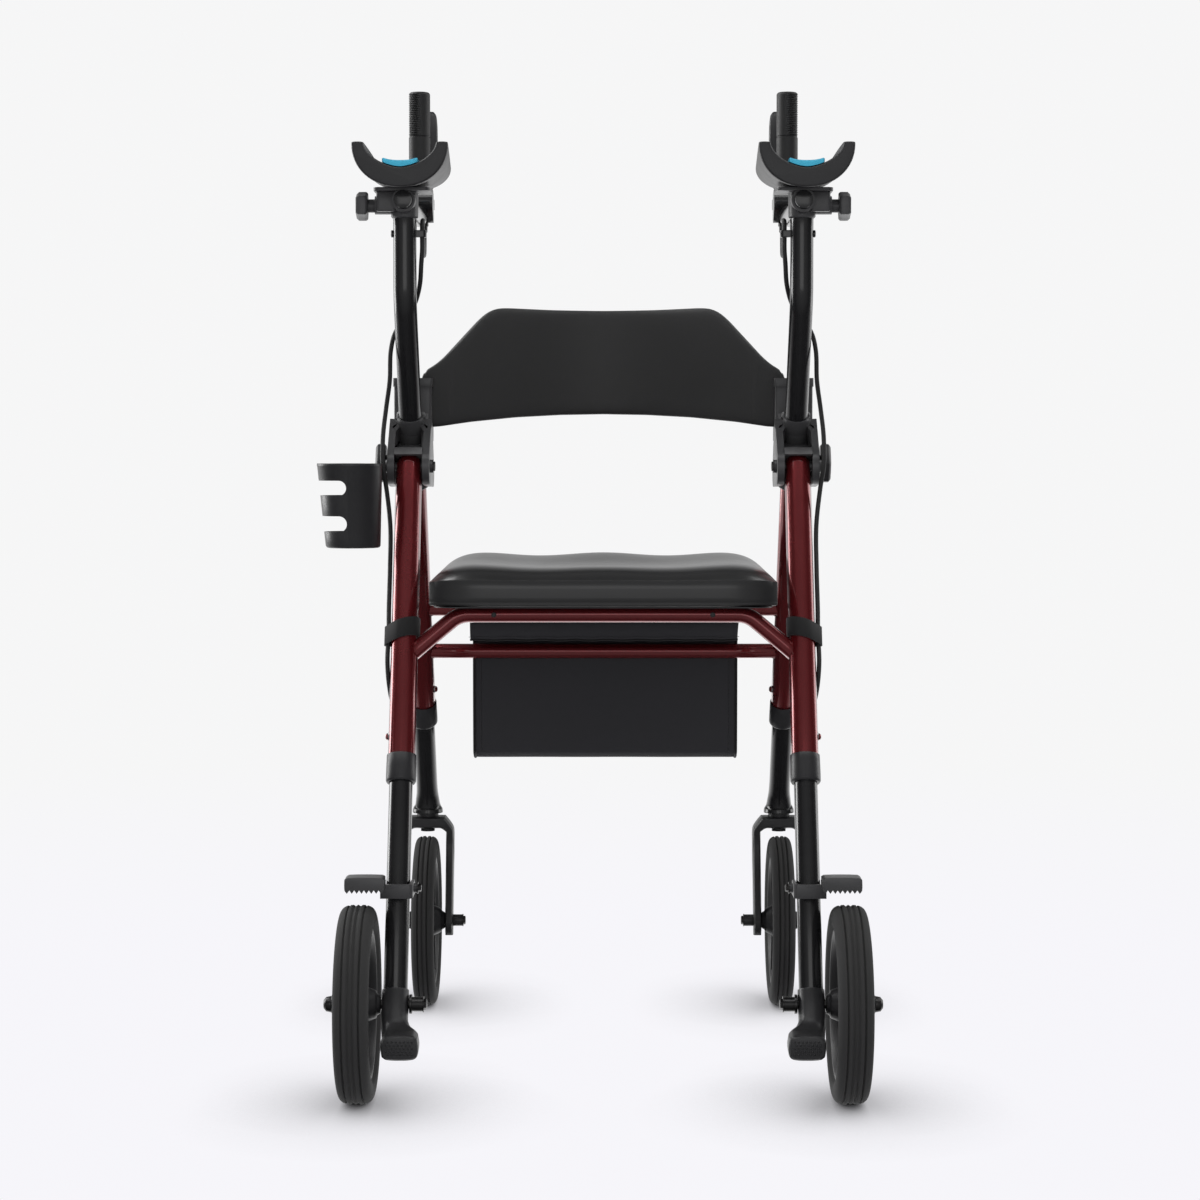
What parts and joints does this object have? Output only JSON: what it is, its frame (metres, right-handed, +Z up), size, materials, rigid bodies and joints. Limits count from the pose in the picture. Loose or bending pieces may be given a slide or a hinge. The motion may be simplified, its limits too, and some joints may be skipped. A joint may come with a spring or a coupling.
{
  "type": "upright rollator",
  "caption": "Upright folding rollator with forearm troughs, hand grips and brakes, padded seat, bowed backrest, front bag and a side cup holder.",
  "frame": {"origin": "on the floor, in the middle of the object's outline seen from above", "axes": "+Z up, +Y forwards, the way the user walks, +X to the user's right"},
  "size_m": [0.5957, 0.735, 1.0856],
  "materials": {
    "red_paint": "glossy wine red enamel",
    "black_paint": "satin black powder coat",
    "black_plastic": "satin moulded black",
    "hub_plastic": "moulded dark grey",
    "black_rubber": "soft matt black",
    "tyre_rubber": "ribbed matt black",
    "black_pad": "smooth black skin over foam",
    "black_foam": "fine-grained foam skin",
    "blue_gel": "soft blue gel",
    "seat_vinyl": "glossy black skin",
    "bag_cloth": "charcoal woven cloth",
    "webbing": "black strap",
    "steel": "zinc-plated steel"
  },
  "bodies": {
    "front_frame": {"front_leg_L": "red_paint", "front_leg_R": "red_paint", "front_collar_L": "black_plastic", "front_collar_R": "black_plastic", "bracket_L": "black_plastic", "bracket_R": "black_plastic", "front_seat_bar": "red_paint", "front_lower_bar": "red_paint", "backrest": "black_foam", "bag": "bag_cloth", "cup_holder": "black_plastic"},
    "rear_frame": {"rear_leg_L": "red_paint", "rear_leg_R": "red_paint", "rear_collar_L": "black_plastic", "rear_collar_R": "black_plastic", "leg_band_L": "webbing", "leg_band_R": "webbing", "rear_seat_tube": "red_paint", "brake_cable_L": "black_rubber", "brake_cable_R": "black_rubber"},
    "rear_lower_L": {"rear_lower_leg_L": "black_paint", "rear_foot_L": "black_plastic", "rear_axle_L": "steel"},
    "rear_lower_R": {"rear_lower_leg_R": "black_paint", "rear_foot_R": "black_plastic", "rear_axle_R": "steel"},
    "rear_wheel_L": {"rear_tyre_L": "tyre_rubber", "rear_hub_L": "hub_plastic"},
    "rear_wheel_R": {"rear_tyre_R": "tyre_rubber", "rear_hub_R": "hub_plastic"},
    "brake_L": {"brake_shoe_L": "black_plastic"},
    "brake_R": {"brake_shoe_R": "black_plastic"},
    "front_lower_L": {"front_lower_leg_L": "black_paint"},
    "front_lower_R": {"front_lower_leg_R": "black_paint"},
    "caster_L": {"caster_fork_L": "black_plastic"},
    "caster_R": {"caster_fork_R": "black_plastic"},
    "caster_wheel_L": {"caster_tyre_L": "tyre_rubber", "caster_hub_L": "hub_plastic"},
    "caster_wheel_R": {"caster_tyre_R": "tyre_rubber", "caster_hub_R": "hub_plastic"},
    "knob_L": {"height_knob_L": "black_plastic"},
    "knob_R": {"height_knob_R": "black_plastic"},
    "arm_L": {"post_L": "black_paint", "trough_clamp_L": "black_plastic", "trough_shell_L": "black_pad", "trough_pad_L": "blue_gel"},
    "arm_R": {"post_R": "black_paint", "trough_clamp_R": "black_plastic", "trough_shell_R": "black_pad", "trough_pad_R": "blue_gel"},
    "side_knob_L": {"reach_knob_L": "black_plastic"},
    "side_knob_R": {"reach_knob_R": "black_plastic"},
    "reach_L": {"reach_bar_L": "black_paint", "grip_L": "black_rubber"},
    "reach_R": {"reach_bar_R": "black_paint", "grip_R": "black_rubber"},
    "lever_L": {"brake_lever_L": "black_plastic"},
    "lever_R": {"brake_lever_R": "black_plastic"},
    "seat": {"seat_pan": "black_plastic", "seat_cushion": "seat_vinyl"}
  },
  "joints": [
    {"name": "frame_fold", "type": "hinge", "parent": "front_frame", "child": "rear_frame", "pos_m": [0.011, -0.02674, 0.65169], "axis": [1, 0, 0], "range_deg": [0, 30], "deforming": ["brake_cable_L", "brake_cable_R"]},
    {"name": "rear_leg_slide_L", "type": "slide", "parent": "rear_frame", "child": "rear_lower_L", "axis": [0, 0.3988, 0.917], "range_m": [-0.05, 0.05], "deforming": ["brake_cable_L"]},
    {"name": "rear_leg_slide_R", "type": "slide", "parent": "rear_frame", "child": "rear_lower_R", "axis": [0, 0.3988, 0.917], "range_m": [-0.05, 0.05], "deforming": ["brake_cable_R"]},
    {"name": "rear_wheel_spin_L", "type": "hinge", "parent": "rear_lower_L", "child": "rear_wheel_L", "pos_m": [-0.2412, -0.266, 0.1015], "axis": [1, 0, 0], "continuous": true},
    {"name": "rear_wheel_spin_R", "type": "hinge", "parent": "rear_lower_R", "child": "rear_wheel_R", "pos_m": [0.2632, -0.266, 0.1015], "axis": [1, 0, 0], "continuous": true},
    {"name": "brake_turn_L", "type": "hinge", "parent": "rear_lower_L", "child": "brake_L", "pos_m": [-0.2025, -0.21695, 0.2143], "axis": [1, 0, 0], "range_deg": [0, 13]},
    {"name": "brake_turn_R", "type": "hinge", "parent": "rear_lower_R", "child": "brake_R", "pos_m": [0.2245, -0.21695, 0.2143], "axis": [1, 0, 0], "range_deg": [0, 13]},
    {"name": "front_leg_slide_L", "type": "slide", "parent": "front_frame", "child": "front_lower_L", "axis": [0, -0.5358, 0.8443], "range_m": [-0.05, 0.05]},
    {"name": "front_leg_slide_R", "type": "slide", "parent": "front_frame", "child": "front_lower_R", "axis": [0, -0.5358, 0.8443], "range_m": [-0.05, 0.05]},
    {"name": "caster_swivel_L", "type": "hinge", "parent": "front_lower_L", "child": "caster_L", "pos_m": [-0.2025, 0.292, 0.218], "axis": [0, 0, 1], "continuous": true},
    {"name": "caster_swivel_R", "type": "hinge", "parent": "front_lower_R", "child": "caster_R", "pos_m": [0.2245, 0.292, 0.218], "axis": [0, 0, 1], "continuous": true},
    {"name": "caster_wheel_spin_L", "type": "hinge", "parent": "caster_L", "child": "caster_wheel_L", "pos_m": [-0.2025, 0.266, 0.1015], "axis": [1, 0, 0], "continuous": true},
    {"name": "caster_wheel_spin_R", "type": "hinge", "parent": "caster_R", "child": "caster_wheel_R", "pos_m": [0.2245, 0.266, 0.1015], "axis": [1, 0, 0], "continuous": true},
    {"name": "height_knob_turn_L", "type": "hinge", "parent": "front_frame", "child": "knob_L", "pos_m": [-0.2025, 0.02998, 0.65488], "axis": [1, 0, 0], "continuous": true},
    {"name": "height_knob_turn_R", "type": "hinge", "parent": "front_frame", "child": "knob_R", "pos_m": [0.2245, 0.02998, 0.65488], "axis": [1, 0, 0], "continuous": true},
    {"name": "post_slide_L", "type": "slide", "parent": "front_frame", "child": "arm_L", "axis": [0, -0.5358, 0.8443], "range_m": [-0.05, 0.075], "deforming": ["brake_cable_L"]},
    {"name": "post_slide_R", "type": "slide", "parent": "front_frame", "child": "arm_R", "axis": [0, -0.5358, 0.8443], "range_m": [-0.05, 0.075], "deforming": ["brake_cable_R"]},
    {"name": "side_knob_turn_L", "type": "hinge", "parent": "arm_L", "child": "side_knob_L", "pos_m": [-0.2025, -0.08242, 0.9315], "axis": [1, 0, 0], "continuous": true},
    {"name": "side_knob_turn_R", "type": "hinge", "parent": "arm_R", "child": "side_knob_R", "pos_m": [0.2245, -0.08242, 0.9315], "axis": [1, 0, 0], "continuous": true},
    {"name": "reach_slide_L", "type": "slide", "parent": "arm_L", "child": "reach_L", "axis": [0, 1, 0], "range_m": [-0.03, 0.03], "deforming": ["brake_cable_L"]},
    {"name": "reach_slide_R", "type": "slide", "parent": "arm_R", "child": "reach_R", "axis": [0, 1, 0], "range_m": [-0.03, 0.03], "deforming": ["brake_cable_R"]},
    {"name": "lever_squeeze_L", "type": "hinge", "parent": "reach_L", "child": "lever_L", "pos_m": [-0.1994, 0.19848, 0.956], "axis": [1, 0, 0], "range_deg": [0, 18], "stiffness_Nm_per_rad": 2, "springref_deg": -6.88},
    {"name": "lever_squeeze_R", "type": "hinge", "parent": "reach_R", "child": "lever_R", "pos_m": [0.2214, 0.19848, 0.956], "axis": [1, 0, 0], "range_deg": [0, 18], "stiffness_Nm_per_rad": 2, "springref_deg": -6.88},
    {"name": "seat_lift", "type": "hinge", "parent": "front_frame", "child": "seat", "pos_m": [0.011, 0.13715, 0.486], "axis": [-1, 0, 0], "range_deg": [0, 42]}
  ],
  "couplings": [
    {"joint": "brake_turn_L", "follows": "lever_squeeze_L", "ratio": 0.7222},
    {"joint": "brake_turn_R", "follows": "lever_squeeze_R", "ratio": 0.7222}
  ]
}
